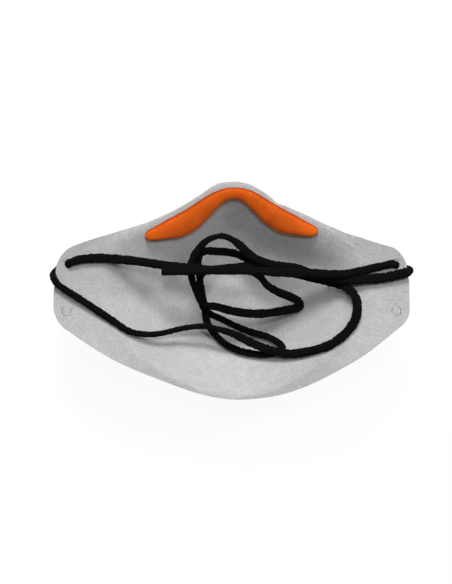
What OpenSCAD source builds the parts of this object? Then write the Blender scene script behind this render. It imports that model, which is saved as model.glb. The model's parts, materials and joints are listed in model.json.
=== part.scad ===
// Disposable dust mask, moulded cup with two flat side wings, lying dome down.
// +Z points to the wearer's face, +Y to the nose, +X to the right as seen from the face side.
// The origin is the centre of the small flat at the lowest point of the dome.

/* [Outline] */
// Overall width across the two wings
mask_w = 209.6; // [200:0.2:220]
// Height of the nose bump's peak line above the origin, before the side slopes
nose_base_y = 59.7; // [56:0.1:62]
// Extra height of the nose bump
nose_bump_h = 14.2; // [10:0.1:16]
// Half-width of the nose bump
nose_bump_w = 31.2; // [27:0.1:34]
// Fall of the top edge for each millimetre towards the side
top_fall = 0.346; // [0.32:0.002:0.37]
// Distance of the chin edge below the origin
chin_y = 62.9; // [60:0.1:65]
// Distance from the centre line to each side crease
crease_x = 79; // [77:0.5:81]

/* [Bowl] */
// Height of the wings' inner face above the resting flat
wing_z = 45; // [43:0.5:50]
// How far the edge at the nose lies below the wings
nose_dip = 8; // [5:0.5:10]
// How far the edge at the chin lies below the wings
chin_dip = 6; // [4:0.5:8]
// Radius of the small flat that the dome rests on
pad_r = 14; // [12:0.5:16]
// Steepness of the nose wall
nose_power = 1.9; // [1.6:0.1:2.3]
// Steepness of the chin wall
chin_power = 1.0; // [0.9:0.05:1.2]
// Steepness of the cheeks
cheek_power = 0.85; // [0.8:0.01:1]

/* [Layers] */
// Thickness of the soft inner liner
liner_t = 0.35; // [0.3:0.05:0.4]
// Thickness of the moulded stiffener
stiffener_t = 0.5; // [0.4:0.05:0.5]
// Thickness of the filter layer
filter_t = 0.5; // [0.4:0.05:0.5]
// Thickness of the outer cover
cover_t = 0.5; // [0.4:0.05:0.5]
// Gap that keeps neighbouring layers separate
layer_gap = 0.05; // [0.04:0.01:0.05]

/* [Wings] */
// Gap across each side crease, where the wing bends
crease_gap = 0.7; // [0.7:0.05:1]
// Radius of the upper outer corner of each wing
upper_corner_r = 16; // [14:0.5:18]
// Radius of the lower outer corner of each wing
lower_corner_r = 12; // [10:0.5:13]
// Distance from the centre line to the holes in the wings
hole_x = 97; // [96.5:0.1:97.5]
// Height of the cord's eyelet above the origin
eyelet_y = 17; // [16.5:0.1:17.5]
// Height of the spare hole, which is still closed by its cut slug
spare_y = -11; // [-12:0.1:-10]
// Radius of the holes
hole_r = 2.85; // [2.8:0.05:3]
// Width of the cut round each slug
slug_cut = 0.3; // [0.25:0.01:0.35]

/* [Nose] */
// Half-length of the foam strip, measured along the top edge
foam_half = 55.5; // [52:0.5:60]
// Greatest thickness of the foam strip
foam_t = 4; // [3:0.1:5]
// Half-length of the nose clip, measured along the top edge
clip_half = 52; // [45:0.5:55]
// Thickness of the nose clip
clip_t = 0.8; // [0.5:0.05:1]
// Thickness of the adhesive films under the foam and the clip
film_t = 0.1; // [0.05:0.01:0.12]

/* [Cord] */
// Width of the flat knitted cord
cord_w = 4; // [3.6:0.1:4.1]
// Thickness of the flat knitted cord
cord_t = 2.2; // [1.8:0.1:2.3]

/* [Hidden] */

liner_grey = [0.78, 0.79, 0.79];
stiffener_grey = [0.74, 0.74, 0.74];
filter_white = [0.9, 0.9, 0.89];
cover_grey = [0.62, 0.63, 0.64];
foam_orange = [0.83, 0.35, 0.1];
clip_metal = [0.7, 0.71, 0.73];
film_clear = [0.85, 0.84, 0.78];
cord_black = [0.08, 0.08, 0.09];

// Depth of each layer's near face below the face that touches the wearer
stiffener_at = liner_t + layer_gap;
filter_at = stiffener_at + stiffener_t + layer_gap;
cover_at = filter_at + filter_t + layer_gap;
laminate_t = cover_at + cover_t;

// Plan outline
peak_round = 22.7;
chin_rise = 0.0152;
chin_rise_power = 1.725;
function top_y(x) =
    nose_base_y - top_fall * sqrt(x * x + peak_round * peak_round)
    + nose_bump_h * exp(-pow(x / nose_bump_w, 2));
function bottom_y(x) = -chin_y + chin_rise * pow(abs(x), chin_rise_power);

// The cup's edge as a closed list of points, anticlockwise as seen from the face side
cup_x = crease_x - crease_gap / 2;
top_steps = 26;
bottom_steps = 20;
side_steps = 6;
function between(a, b, share) = a + (b - a) * share;
cup_edge = concat(
    [for (i = [0:side_steps - 1]) [cup_x, between(bottom_y(cup_x), top_y(cup_x), i / side_steps)]],
    [for (i = [0:top_steps - 1]) let (x = between(cup_x, -cup_x, i / top_steps)) [x, top_y(x)]],
    [for (i = [0:side_steps - 1]) [-cup_x, between(top_y(cup_x), bottom_y(cup_x), i / side_steps)]],
    [for (i = [0:bottom_steps - 1]) let (x = between(-cup_x, cup_x, i / bottom_steps)) [x, bottom_y(x)]]
);

// The bowl's own edge: an eye shape in plan that runs into the outline at the nose and the chin.
// Between it and the outline, the sheet is a flat brim.
eye_y = 70;
nose_eye_power = 1.75;
chin_eye_power = 1.45;
eye_turn = 0.15;
eye_blend = 12;
crease_slack = 0.01;
function on_crease(edge) = abs(edge[0]) > cup_x - crease_slack;
function smooth_step(t) = let (c = min(1, max(0, t))) c * c * (3 - 2 * c);
function eye_reach(d) =
    let (p = between(chin_eye_power, nose_eye_power, smooth_step((d[1] + eye_turn) / (2 * eye_turn))))
    pow(pow(abs(d[0]) / cup_x, p) + pow(abs(d[1]) / eye_y, p), -1 / p);
function blend_share(eye, out) = min(1, max(0, 0.5 + 0.5 * (eye - out) / eye_blend));
function bowl_reach(edge) =
    let (
        eye = eye_reach(edge / norm(edge)),
        out = norm(edge),
        h = on_crease(edge) ? 0 : blend_share(eye, out)
    )
    eye * (1 - h) + out * h - eye_blend * h * (1 - h);

// The bowl's inner face. edge is a point of the plan outline, and share runs from 0 at the
// small flat to 1 at the outline. The bend at the brim and the turn into the flat are both rounded.
floor_round = 0.12;
crease_round = 0.1;
least_round = 0.05;
nose_lip = 0.07;
nose_reach = 30;
chin_reach = 45;
nose_start = 6;
function soft(v, r) = (sqrt(v * v + r * r) - r) / (sqrt(1 + r * r) - r);
// rim is the point of the bowl's own edge. nose_side is 1 on the nose's side and 0 on the chin's.
function nose_side(rim) = smooth_step((rim[1] + nose_start) / (2 * nose_start));
function sideways(rim) = min(1, abs(rim[0]) / cup_x);
function edge_dip(rim) =
    between(chin_dip, nose_dip, nose_side(rim)) * pow(1 - pow(sideways(rim), 2), 2);
function wall_power(rim) =
    between(
        cheek_power + (chin_power - cheek_power) * exp(-pow(rim[0] / chin_reach, 2)),
        cheek_power + (nose_power - cheek_power) * exp(-pow(rim[0] / nose_reach, 2)),
        nose_side(rim)
    );
function rim_round(rim) =
    crease_round * pow(sideways(rim), 4) + least_round
    + nose_lip * nose_side(rim) * (1 - pow(sideways(rim), 2));
function rise(rim, share) =
    pow(max(0, soft(1 - soft(1 - share, rim_round(rim)), floor_round)), wall_power(rim));
function bowl_point(edge, share) =
    let (
        flat = edge * pad_r / norm(edge),
        plan = flat * (1 - share) + edge * share,
        reach = bowl_reach(edge),
        rim = edge * reach / norm(edge),
        climb = min(1, (norm(plan) - pad_r) / (reach - pad_r))
    )
    [plan[0], plan[1], laminate_t + (wing_z - edge_dip(rim) - laminate_t) * rise(rim, max(0, climb))];

// Outward directions, away from the wearer, so that every layer lies parallel to the inner face
down = [0, 0, -1];
function unit(v) = v / norm(v);
function outward(a, b, c, d) = let (n = unit(cross(b - a, d - c))) n[2] > 0 ? -n : n;

ring_steps = 11;
ring_spread = 0.9;
function ring_share(j) = pow(1 - j / ring_steps, ring_spread);
edge_count = len(cup_edge);
bowl_grid = [for (e = cup_edge) [for (j = [0:ring_steps]) bowl_point(e, ring_share(j))]];
bowl_normals = [
    for (i = [0:edge_count - 1])
    [
        for (j = [0:ring_steps])
        j == ring_steps || (j == 0 && on_crease(cup_edge[i]))
        ? down
        : outward(
            bowl_grid[(i + edge_count - 1) % edge_count][j],
            bowl_grid[(i + 1) % edge_count][j],
            bowl_grid[i][max(0, j - 1)],
            bowl_grid[i][j + 1]
        )
    ]
];

// One layer of the cup, between two depths below the inner face
module cup_layer(near, far) {
    rings = ring_steps + 1;
    count = edge_count * rings;
    points = concat(
        [for (i = [0:edge_count - 1]) for (j = [0:ring_steps]) bowl_grid[i][j] + near * bowl_normals[i][j]],
        [for (i = [0:edge_count - 1]) for (j = [0:ring_steps]) bowl_grid[i][j] + far * bowl_normals[i][j]]
    );
    function at(i, j) = (i % edge_count) * rings + j;
    near_faces = [
        for (i = [0:edge_count - 1])
        for (j = [0:ring_steps - 1])
        for (f = [
            [at(i, j), at(i, j + 1), at(i + 1, j + 1)],
            [at(i, j), at(i + 1, j + 1), at(i + 1, j)]
        ])
        f
    ];
    far_faces = [for (f = near_faces) [f[2] + count, f[1] + count, f[0] + count]];
    rim_faces = [
        for (i = [0:edge_count - 1])
        for (f = [
            [at(i, 0), at(i + 1, 0), at(i + 1, 0) + count],
            [at(i, 0), at(i + 1, 0) + count, at(i, 0) + count]
        ])
        f
    ];
    near_flat = [for (i = [0:edge_count - 1]) at(i, ring_steps)];
    far_flat = [for (i = [edge_count - 1:-1:0]) at(i, ring_steps) + count];
    polyhedron(
        points,
        concat(near_faces, far_faces, rim_faces, [reversed(near_flat), reversed(far_flat)])
    );
}
function reversed(list) = [for (i = [len(list) - 1:-1:0]) list[i]];

// A thin solid between two grids of the same size
module sheet(under, over) {
    rows = len(under);
    cols = len(under[0]);
    count = rows * cols;
    function at(r, c) = r * cols + c;
    points = concat(
        [for (row = under) for (p = row) p],
        [for (row = over) for (p = row) p]
    );
    over_faces = [
        for (r = [0:rows - 2])
        for (c = [0:cols - 2])
        for (f = [
            [at(r, c), at(r, c + 1), at(r + 1, c + 1)],
            [at(r, c), at(r + 1, c + 1), at(r + 1, c)]
        ])
        [f[0] + count, f[1] + count, f[2] + count]
    ];
    under_faces = [for (f = over_faces) [f[2] - count, f[1] - count, f[0] - count]];
    border = concat(
        [for (c = [0:cols - 1]) at(0, c)],
        [for (r = [1:rows - 1]) at(r, cols - 1)],
        [for (c = [cols - 2:-1:0]) at(rows - 1, c)],
        [for (r = [rows - 2:-1:1]) at(r, 0)]
    );
    side_faces = [
        for (i = [0:len(border) - 1])
        let (a = border[i], b = border[(i + 1) % len(border)])
        for (f = [[a, b, b + count], [a, b + count, a + count]])
        f
    ];
    polyhedron(points, concat(over_faces, under_faces, side_faces));
}

// Points of a strip that lies on the bowl near the top edge. depth is counted outwards from the
// inner face, so a negative depth is on the wearer's side.
probe = 0.4;
probe_share = 0.01;
function top_edge(x) = [x, top_y(x)];
function strip_point(x, share, depth) =
    let (n = outward(
        bowl_point(top_edge(x - probe), share),
        bowl_point(top_edge(x + probe), share),
        bowl_point(top_edge(x), share - probe_share),
        bowl_point(top_edge(x), share + probe_share)
    ))
    bowl_point(top_edge(x), share) + depth * n;

// Wings
wing_x = crease_x + crease_gap / 2;
edge_slope_step = 0.5;
upper_x = mask_w / 2 - upper_corner_r;
upper_turn = atan((top_y(upper_x - edge_slope_step) - top_y(upper_x + edge_slope_step)));
upper_centre = [upper_x, top_y(upper_x) - upper_corner_r / cos(upper_turn)];
lower_x = mask_w / 2 - lower_corner_r;
lower_turn = atan((bottom_y(lower_x + edge_slope_step) - bottom_y(lower_x - edge_slope_step)));
lower_centre = [lower_x, bottom_y(lower_x) + lower_corner_r / cos(lower_turn)];
corner_steps = 8;
straight_steps = 4;
upper_end_x = upper_centre[0] + upper_corner_r * sin(upper_turn);
lower_end_x = lower_centre[0] + lower_corner_r * sin(lower_turn);
wing_outline = concat(
    [for (i = [0:straight_steps]) let (x = between(wing_x, lower_end_x, i / straight_steps)) [x, bottom_y(x)]],
    [
        for (i = [1:corner_steps])
        let (a = between(lower_turn - 90, 0, i / corner_steps))
        lower_centre + lower_corner_r * [cos(a), sin(a)]
    ],
    [
        for (i = [0:corner_steps - 1])
        let (a = between(0, 90 - upper_turn, i / corner_steps))
        upper_centre + upper_corner_r * [cos(a), sin(a)]
    ],
    [for (i = [0:straight_steps]) let (x = between(upper_end_x, wing_x, i / straight_steps)) [x, top_y(x)]]
);

hole_facets = 48;
module wing_layer(near, thick) {
    translate([0, 0, wing_z - near - thick])
        linear_extrude(height = thick)
            difference() {
                polygon(wing_outline);
                translate([hole_x, eyelet_y]) circle(r = hole_r, $fn = hole_facets);
                translate([hole_x, spare_y]) circle(r = hole_r, $fn = hole_facets);
            }
}
module left() {
    mirror([1, 0, 0]) children();
}

// The slug touches its hole only near the lower point, where it is left uncut
slug_r = hole_r - slug_cut;
slug_drop = slug_cut * 0.6;
module slug() {
    translate([hole_x, spare_y - slug_drop, wing_z - laminate_t])
        cylinder(r = slug_r, h = laminate_t, $fn = hole_facets);
}

// Foam strip: narrow over the bridge of the nose, widest on its flanks, rounded at the tips
foam_rows = 24;
foam_cols = 5;
foam_clear = 0.35;
foam_edge_t = 0.4;
bridge_reach = 17;
function foam_top(x) = 0.955 - 0.02 * exp(-pow(x / bridge_reach, 2)) - 0.03 * pow(abs(x) / foam_half, 6);
function foam_bottom(x) =
    0.685 + 0.115 * exp(-pow(x / bridge_reach, 2)) + 0.2 * pow(abs(x) / foam_half, 5);
function foam_share(x, v) = between(foam_bottom(x), foam_top(x), v);
function foam_height(x, v) =
    foam_edge_t + (foam_t - foam_edge_t) * sqrt(max(0, 1 - pow(2 * v - 1, 2)))
    * (1 - pow(abs(x) / foam_half, 6));
foam_at = -foam_clear - film_t - layer_gap;
function foam_grid(lift) = [
    for (i = [0:foam_rows])
    let (x = between(-foam_half, foam_half, i / foam_rows))
    [
        for (j = [0:foam_cols])
        let (v = j / foam_cols)
        strip_point(x, foam_share(x, v), foam_at - lift * foam_height(x, v))
    ]
];
function foam_film_grid(depth) = [
    for (i = [0:foam_rows])
    let (x = between(-foam_half, foam_half, i / foam_rows))
    [for (j = [0:foam_cols]) strip_point(x, foam_share(x, j / foam_cols), depth)]
];

// Nose clip: a narrow metal strip on the outer face, just below the top edge
clip_rows = 30;
clip_share_low = 0.86;
clip_share_high = 0.955;
clip_clear = 0.6;
clip_film_at = laminate_t + clip_clear;
clip_at = clip_film_at + film_t + layer_gap;
function clip_grid(depth) = [
    for (i = [0:clip_rows])
    let (x = between(-clip_half, clip_half, i / clip_rows))
    [for (share = [clip_share_low, clip_share_high]) strip_point(x, share, depth)]
];

// Cord: an oval section swept along a smooth curve through a few points
smooth_steps = 3;
section_points = 8;
function curve_point(a, b, c, d, t) =
    0.5 * (2 * b + (c - a) * t + (2 * a - 5 * b + 4 * c - d) * t * t
    + (3 * b - a - 3 * c + d) * t * t * t);
function smooth_path(p) = concat(
    [
        for (i = [0:len(p) - 2])
        for (k = [0:smooth_steps - 1])
        curve_point(p[max(0, i - 1)], p[i], p[i + 1], p[min(len(p) - 1, i + 2)], k / smooth_steps)
    ],
    [p[len(p) - 1]]
);
function tangent(p, i) = unit(p[min(len(p) - 1, i + 1)] - p[max(0, i - 1)]);
function square_to(v, t) = unit(v - (v * t) * t);
// Sideways directions carried along the path without twist
function sides(p, i, last) =
    i >= len(p) ? [] : let (s = square_to(last, tangent(p, i))) concat([s], sides(p, i + 1, s));
module cord(path, first_side) {
    p = smooth_path(path);
    across = sides(p, 0, first_side);
    n = section_points;
    points = [
        for (i = [0:len(p) - 1])
        let (flat = cross(across[i], tangent(p, i)))
        for (k = [0:n - 1])
        p[i] + cord_w / 2 * cos(360 * k / n) * across[i] + cord_t / 2 * sin(360 * k / n) * flat
    ];
    wall_faces = [
        for (i = [0:len(p) - 2])
        for (k = [0:n - 1])
        let (a = i * n + k, b = i * n + (k + 1) % n)
        for (f = [[a, b, b + n], [a, b + n, a + n]])
        f
    ];
    first_end = [for (k = [n - 1:-1:0]) k];
    last_end = [for (k = [0:n - 1]) (len(p) - 1) * n + k];
    polyhedron(points, concat(wall_faces, [first_end, last_end]));
}

// Heights of the cord over and under a wing
over_wing = wing_z + cord_t / 2 + 0.4;
under_wing = wing_z - laminate_t - cord_t / 2 - 0.5;
lead_start = crease_x + 1.6;
span_end = crease_x - 1.4;
front_side = [0, 1, 0];

// Each point is x, y and z. Right lead: over the wing, down the eyelet, round the edge and back.
right_lead = [
    [lead_start, 14, over_wing + 0.3], [87, 16, over_wing + 0.2],
    [93.5, eyelet_y - 0.2, over_wing + 0.4], [hole_x - 0.5, eyelet_y - 0.4, over_wing - 0.3],
    [hole_x, eyelet_y - 0.4, wing_z - 1], [hole_x + 0.5, eyelet_y - 0.3, under_wing + 0.2],
    [hole_x + 3, eyelet_y - 0.4, under_wing - 0.6], [103.5, 15.6, under_wing - 0.7],
    [106.6, 14.3, wing_z - 1], [105, 13, over_wing + 0.9], [100, 11, over_wing + 0.8],
    [90, 8.4, over_wing + 0.5], [lead_start, 7.3, over_wing + 0.3]
];
left_lead = [
    [-lead_start, 19.4, over_wing + 0.3], [-88, 18.8, over_wing + 0.2],
    [-94, eyelet_y + 0.4, over_wing + 0.4], [0.9 - hole_x, eyelet_y + 0.2, over_wing - 0.3],
    [0.4 - hole_x, eyelet_y, wing_z - 1], [-hole_x, eyelet_y, under_wing + 0.2],
    [-hole_x - 3, eyelet_y - 0.6, under_wing - 0.6], [-103.6, 14.2, under_wing - 1.2],
    [-107, 11, wing_z - 1.2], [-105.3, 7.6, over_wing + 0.9], [-100.5, 3.4, over_wing + 0.8],
    [-90.2, -3, over_wing + 0.8], [-lead_start - 1, -8.8, over_wing + 0.5]
];

// The two ends of the cord lie side by side over the bowl
front_left = [
    [-span_end, 19.6, 47], [-69, 19, 47.2], [-60, 18.2, 47.2], [-50, 17, 47], [-40, 15.8, 45.9],
    [-27, 14.8, 45.1], [-14, 13.2, 44.9], [-6, 12.8, 44.9]
];
front_right = [
    [span_end, 13.6, 47], [70, 11.9, 47.2], [62, 11, 47.4], [48, 11.4, 47.6], [36, 11.2, 47.9],
    [23, 12, 48.1], [10, 12.6, 48.3], [-4, 12.9, 48.5], [-18, 12.6, 48.7], [-30, 12.3, 48.9],
    [-41, 12, 49.1]
];
rear_tangle = [
    [span_end, 7.4, 47], [68, 7.2, 45.9], [56, 8.4, 44.3], [47, 10.6, 43.3], [39, 13.8, 43.3],
    [31, 15.6, 43.6], [23, 17.2, 44], [15, 20, 44.9], [9, 23.4, 45.9], [4.6, 27.4, 46.5],
    [0, 31, 47], [-6.4, 33, 47], [-12, 31.8, 46.4], [-16, 29.4, 45.3], [-20, 25, 43.8],
    [-23, 19.5, 41.7], [-24.2, 14, 40.1], [-23.8, 8, 38.5], [-21.3, 1, 35.2], [-18.4, -4.4, 32],
    [-15, -6.6, 30.1], [-9, -7.7, 28.3], [1, -10.3, 25.6], [12, -11.7, 24], [22, -11.4, 24],
    [32.5, -9.7, 25.4], [40, -8.6, 27], [41.5, -5.6, 28], [36, -3, 29], [27, 0, 31.2],
    [19.7, 4, 34.7], [15.5, 9.4, 38.5], [9, 13, 40.1], [-3, 13.8, 39.5], [-12.6, 13, 35.8],
    [-17.6, 8.2, 29.9], [-18.3, 1, 23], [-17, -7, 15.5], [-12.5, -11.6, 11.2], [-6, -14.8, 9.1],
    [2.7, -19.6, 8.6], [12, -23.2, 13], [22, -26, 20.2], [28.5, -28.6, 26.4], [31, -32, 30],
    [27, -35, 29.4], [19.6, -36.2, 26.4], [11.7, -35.4, 22.4], [3.8, -33.6, 18.8],
    [-4.5, -29.4, 15.4], [-11.5, -22.5, 14], [-15, -15, 18], [-16.6, -5, 25.6], [-18, 3, 32.6],
    [-19, 11, 38.5], [-20, 18, 38.5], [-19, 23, 38.5], [-15.5, 25.2, 38.5], [-9, 25, 38.5],
    [-3, 24.6, 38.5], [3, 23.4, 38.5], [10, 20, 38.8], [20, 16.2, 38.6], [31.5, 13.3, 37.4],
    [43, 10.3, 36.4], [53, 7.8, 38], [62, 5.4, 41.6], [68.6, 2.4, 45], [72.8, -2.8, 47],
    [73.8, -9.4, 47.6], [71.4, -16.8, 47.8], [65.8, -23.8, 47.7], [58, -29.4, 46.2],
    [51, -32.2, 43.6], [43, -34, 39.6], [34, -35, 35.2], [22.7, -33.8, 31.2], [11.7, -29.4, 27.6],
    [1.2, -24, 26], [-8, -20.8, 26.8], [-15.6, -19.2, 28.6], [-24.4, -19.8, 31],
    [-31.7, -21.2, 33.8], [-41.2, -23.7, 38.4], [-50.5, -24.5, 42], [-60, -22.7, 44.9],
    [-69.3, -16.8, 46.8], [1 - span_end, -12, 47]
];

module cup_inner_liner() {
    color(liner_grey) cup_layer(0, liner_t);
}
module cup_stiffener() {
    color(stiffener_grey) cup_layer(stiffener_at, stiffener_at + stiffener_t);
}
module cup_filter_layer() {
    color(filter_white) cup_layer(filter_at, filter_at + filter_t);
}
module cup_outer_cover() {
    color(cover_grey) cup_layer(cover_at, cover_at + cover_t);
}
module right_wing_inner_liner() {
    color(liner_grey) wing_layer(0, liner_t);
}
module right_wing_stiffener() {
    color(stiffener_grey) wing_layer(stiffener_at, stiffener_t);
}
module right_wing_filter_layer() {
    color(filter_white) wing_layer(filter_at, filter_t);
}
module right_wing_outer_cover() {
    color(cover_grey) wing_layer(cover_at, cover_t);
}
module left_wing_inner_liner() {
    left() right_wing_inner_liner();
}
module left_wing_stiffener() {
    left() right_wing_stiffener();
}
module left_wing_filter_layer() {
    left() right_wing_filter_layer();
}
module left_wing_outer_cover() {
    left() right_wing_outer_cover();
}
module right_hole_slug() {
    color(liner_grey) slug();
}
module left_hole_slug() {
    left() right_hole_slug();
}
module nose_clip() {
    color(clip_metal) sheet(clip_grid(clip_at + clip_t), clip_grid(clip_at));
}
module nose_clip_adhesive() {
    color(film_clear) sheet(clip_grid(clip_film_at + film_t), clip_grid(clip_film_at));
}
module nose_foam() {
    color(foam_orange) sheet(foam_grid(0), foam_grid(1));
}
module nose_foam_adhesive() {
    color(film_clear) sheet(foam_film_grid(-foam_clear), foam_film_grid(-foam_clear - film_t));
}
module cord_left_lead() {
    color(cord_black) cord(left_lead, front_side);
}
module cord_right_lead() {
    color(cord_black) cord(right_lead, front_side);
}
module cord_front_left() {
    color(cord_black) cord(front_left, front_side);
}
module cord_front_right() {
    color(cord_black) cord(front_right, front_side);
}
module cord_rear_tangle() {
    color(cord_black) cord(rear_tangle, front_side);
}

cup_inner_liner();
cup_stiffener();
cup_filter_layer();
cup_outer_cover();
left_wing_inner_liner();
left_wing_stiffener();
left_wing_filter_layer();
left_wing_outer_cover();
right_wing_inner_liner();
right_wing_stiffener();
right_wing_filter_layer();
right_wing_outer_cover();
left_hole_slug();
right_hole_slug();
nose_clip();
nose_clip_adhesive();
nose_foam();
nose_foam_adhesive();
cord_left_lead();
cord_right_lead();
cord_front_left();
cord_front_right();
cord_rear_tangle();
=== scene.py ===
import json
import math

import bmesh
import bpy
import numpy as np
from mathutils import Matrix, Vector, noise

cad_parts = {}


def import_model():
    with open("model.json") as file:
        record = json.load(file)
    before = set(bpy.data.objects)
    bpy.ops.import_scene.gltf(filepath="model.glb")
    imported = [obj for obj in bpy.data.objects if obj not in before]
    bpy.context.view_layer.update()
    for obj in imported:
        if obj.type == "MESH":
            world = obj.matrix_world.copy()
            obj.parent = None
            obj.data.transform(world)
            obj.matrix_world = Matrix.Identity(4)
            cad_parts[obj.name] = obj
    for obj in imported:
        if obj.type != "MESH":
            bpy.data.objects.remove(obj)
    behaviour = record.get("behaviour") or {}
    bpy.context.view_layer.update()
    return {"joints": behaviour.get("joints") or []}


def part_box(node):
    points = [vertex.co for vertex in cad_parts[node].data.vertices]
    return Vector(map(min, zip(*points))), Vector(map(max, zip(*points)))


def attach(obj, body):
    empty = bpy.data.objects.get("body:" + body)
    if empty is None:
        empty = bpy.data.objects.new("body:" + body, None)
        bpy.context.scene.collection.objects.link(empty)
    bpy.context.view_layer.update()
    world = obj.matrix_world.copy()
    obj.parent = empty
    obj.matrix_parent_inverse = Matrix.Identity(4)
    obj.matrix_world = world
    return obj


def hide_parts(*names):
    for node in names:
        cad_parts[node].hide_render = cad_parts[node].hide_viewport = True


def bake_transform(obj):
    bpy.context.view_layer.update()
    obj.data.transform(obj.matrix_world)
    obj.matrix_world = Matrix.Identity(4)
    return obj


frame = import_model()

MM = 0.001


def box_mm(node):
    low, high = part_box(node)
    return np.array(low) / MM, np.array(high) / MM


def joint(name):
    return next(j for j in frame["joints"] if j["name"] == name)


# ---------------------------------------------------------------- driving sizes, from the frame
HALF_W = box_mm("right_wing_outer_cover")[1][0]
WING_Z = box_mm("right_wing_inner_liner")[1][2]
LAMINATE = WING_Z - box_mm("right_wing_outer_cover")[0][2]
CREASE_X = joint("right_wing_fold")["pos_m"][0] / MM
SLUG_LOW, SLUG_HIGH = box_mm("right_hole_slug")
HOLE_X = (SLUG_LOW[0] + SLUG_HIGH[0]) / 2
HOLE_R = 2.85
SPARE_Y, EYELET_Y = -11.0, 17.0  # the closed hole and the cord's hole of each wing
SEAM_X = 60.0  # where the cup's own mesh ends and a wing's starts
SIDE = {"left_wing": -1, "right_wing": 1}

# ---------------------------------------------------------------- plan outline
NOSE_BASE, BUMP_H, BUMP_W, TOP_FALL, PEAK_ROUND = 58.9, 13.2, 29.6, 0.338, 22.7
CHIN_Y, CHIN_RISE, CHIN_POWER = 62.2, 0.0152, 1.725
# Uneven trims of the two edges: height, place along the edge and reach of each.
NOSE_TRIMS = [(1.0, 97, 6), (1.3, -9, 7), (2.6, 13, 17), (2.0, 43, 13), (-1.3, 27.5, 3)]
CHIN_TRIMS = [(1.3, -42, 22), (-3.3, 40, 32), (-1.3, 79, 14)]
NOSE_SPARE, SPARE_FROM, SPARE_TO = 0.9, 58, 70  # more sheet along the nose edge, up to the right wing
# Corner radii and the lean of the wings' ends, for the left (-1) and the right (1).
UPPER_R = {-1: 14.0, 1: 11.0}
LOWER_R = {-1: 17.5, 1: 12.5}
LEAN = {-1: 0.1, 1: 0.17}
LEAN_FROM = {-1: 0.0, 1: 6.0}
LEAN_X = 88.0


def hump(x, centre, reach):
    return np.exp(-(((x - centre) / reach) ** 2))


def smooth_step(v, low, high):
    t = np.clip((v - low) / (high - low), 0, 1)
    return t * t * (3 - 2 * t)


def trimmed(x, trims):
    return sum(height * hump(x, centre, reach) for height, centre, reach in trims)


def even_top_y(x):
    return NOSE_BASE - TOP_FALL * np.sqrt(x * x + PEAK_ROUND**2) + BUMP_H * hump(x, 0, BUMP_W)


def top_y(x):
    """The nose edge. It isn't cut quite evenly: fuller on the right flank, with a small nick in it."""
    spare = NOSE_SPARE * (1 - smooth_step(x, SPARE_FROM, SPARE_TO))
    return even_top_y(x) + spare + trimmed(x, NOSE_TRIMS)


def bottom_y(x):
    """The chin edge, fuller on the right as well."""
    return -CHIN_Y + CHIN_RISE * np.abs(x) ** CHIN_POWER + trimmed(x, CHIN_TRIMS)


def corner(edge, radius, up, side):
    """Centre and start of the round corner between an edge line and a wing's straight end."""
    x = HALF_W - radius
    turn = math.atan(float(edge(side * (x + 0.5)) - edge(side * (x - 0.5))))
    return x, float(edge(side * x)) - up * radius / math.cos(turn), x - up * radius * math.sin(turn)


UPPER = {side: corner(top_y, UPPER_R[side], 1, side) for side in (-1, 1)}
LOWER = {side: corner(bottom_y, LOWER_R[side], -1, side) for side in (-1, 1)}


def with_corners(x, edge, corners, radius, up):
    """An edge line with its two ends turned into round corners."""
    ax = np.abs(x)
    y = edge(x)
    for side, (cx, cy, start) in corners.items():
        arc = cy + up * np.sqrt(np.maximum(0, radius[side] ** 2 - np.maximum(0, ax - cx) ** 2))
        y = np.where((ax > start) & (np.sign(x) == side), arc, y)
    return y


def leaned(x, y):
    """The wings' ends draw in a little towards the nose."""
    share = smooth_step(np.abs(x), LEAN_X, HALF_W)
    left = LEAN[-1] * np.maximum(0, y - LEAN_FROM[-1])
    right = LEAN[1] * np.maximum(0, y - LEAN_FROM[1])
    return x - share * np.where(x > 0, right, -left)


def high_edge(x):
    return with_corners(x, top_y, UPPER, UPPER_R, 1)


def low_edge(x):
    return with_corners(x, bottom_y, LOWER, LOWER_R, -1)


# ---------------------------------------------------------------- bowl shape
NOSE_DIP, CHIN_DIP, PAD_R = 8.0, 6.0, 14.0  # how far the rim dips between the wings, and the floor's flat
NOSE_STEEP, CHIN_STEEP, CHEEK_STEEP = 1.6, 1.0, 0.85  # power of the wall's rise
NOSE_REACH, CHIN_REACH, NOSE_FADE = 30.0, 45.0, 6.0
FLOOR_SHIFT, FLOOR_REACH = 6.0, 25.0  # the floor lies nearer the chin
FLOOR_ROUND, CREASE_ROUND, LEAST_ROUND, NOSE_LIP = 0.12, 0.1, 0.05, 0.07
# The hollow's own outline is a pointed oval, joined softly to the mask's edge.
EYE_X, EYE_Y, CORNER_BLEND = 82.0, 70.0, 12.0
NOSE_EYE_POWER, CHIN_EYE_POWER, EYE_TURN = 1.75, 1.45, 0.15
# The wings curl up a little towards their corners.
NOSE_TROUGH, CHIN_TROUGH, TROUGH_LOW = 3.0, 2.2, 0.55
TROUGH_Y, TROUGH_REACH = 3.0, 25.0
NOSE_TROUGH_X, CHIN_TROUGH_X, TROUGH_FULL_X = 52, 38, 84
WAVE = 0.22
# Soft valleys of the nose wall: depth, the two ends and reach.
VALLEYS = [(3.5, (18, 28), (54, 15), 7), (2.3, (1, 43), (-29, 17), 5)]
# Patches of small folds: height, centre and reach of the patch, its beat, the run of its folds, and
# how much and along what they waver. A pair is how fast a phase turns along x and along y.
FOLD_PATCHES = [
    (0.14, (84, -24), (9, 7), (1 / 2.3, 1 / 5), (0.9, 2.3), 0.9, (1 / 3, 0)),
    (0.13, (74, 28), (13, 5), (1 / 4, -1 / 3), (1.0, 1.6), 0.9, (0, 1 / 3.1)),
    (0.14, (-76, 27), (14, 7), (1 / 3.5, 1 / 4), (-0.7, 1.2), 0.8, (1 / 5, 0)),
]
SLOPE_INSET = 0.996  # slopes are read a little inside the edge


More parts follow.
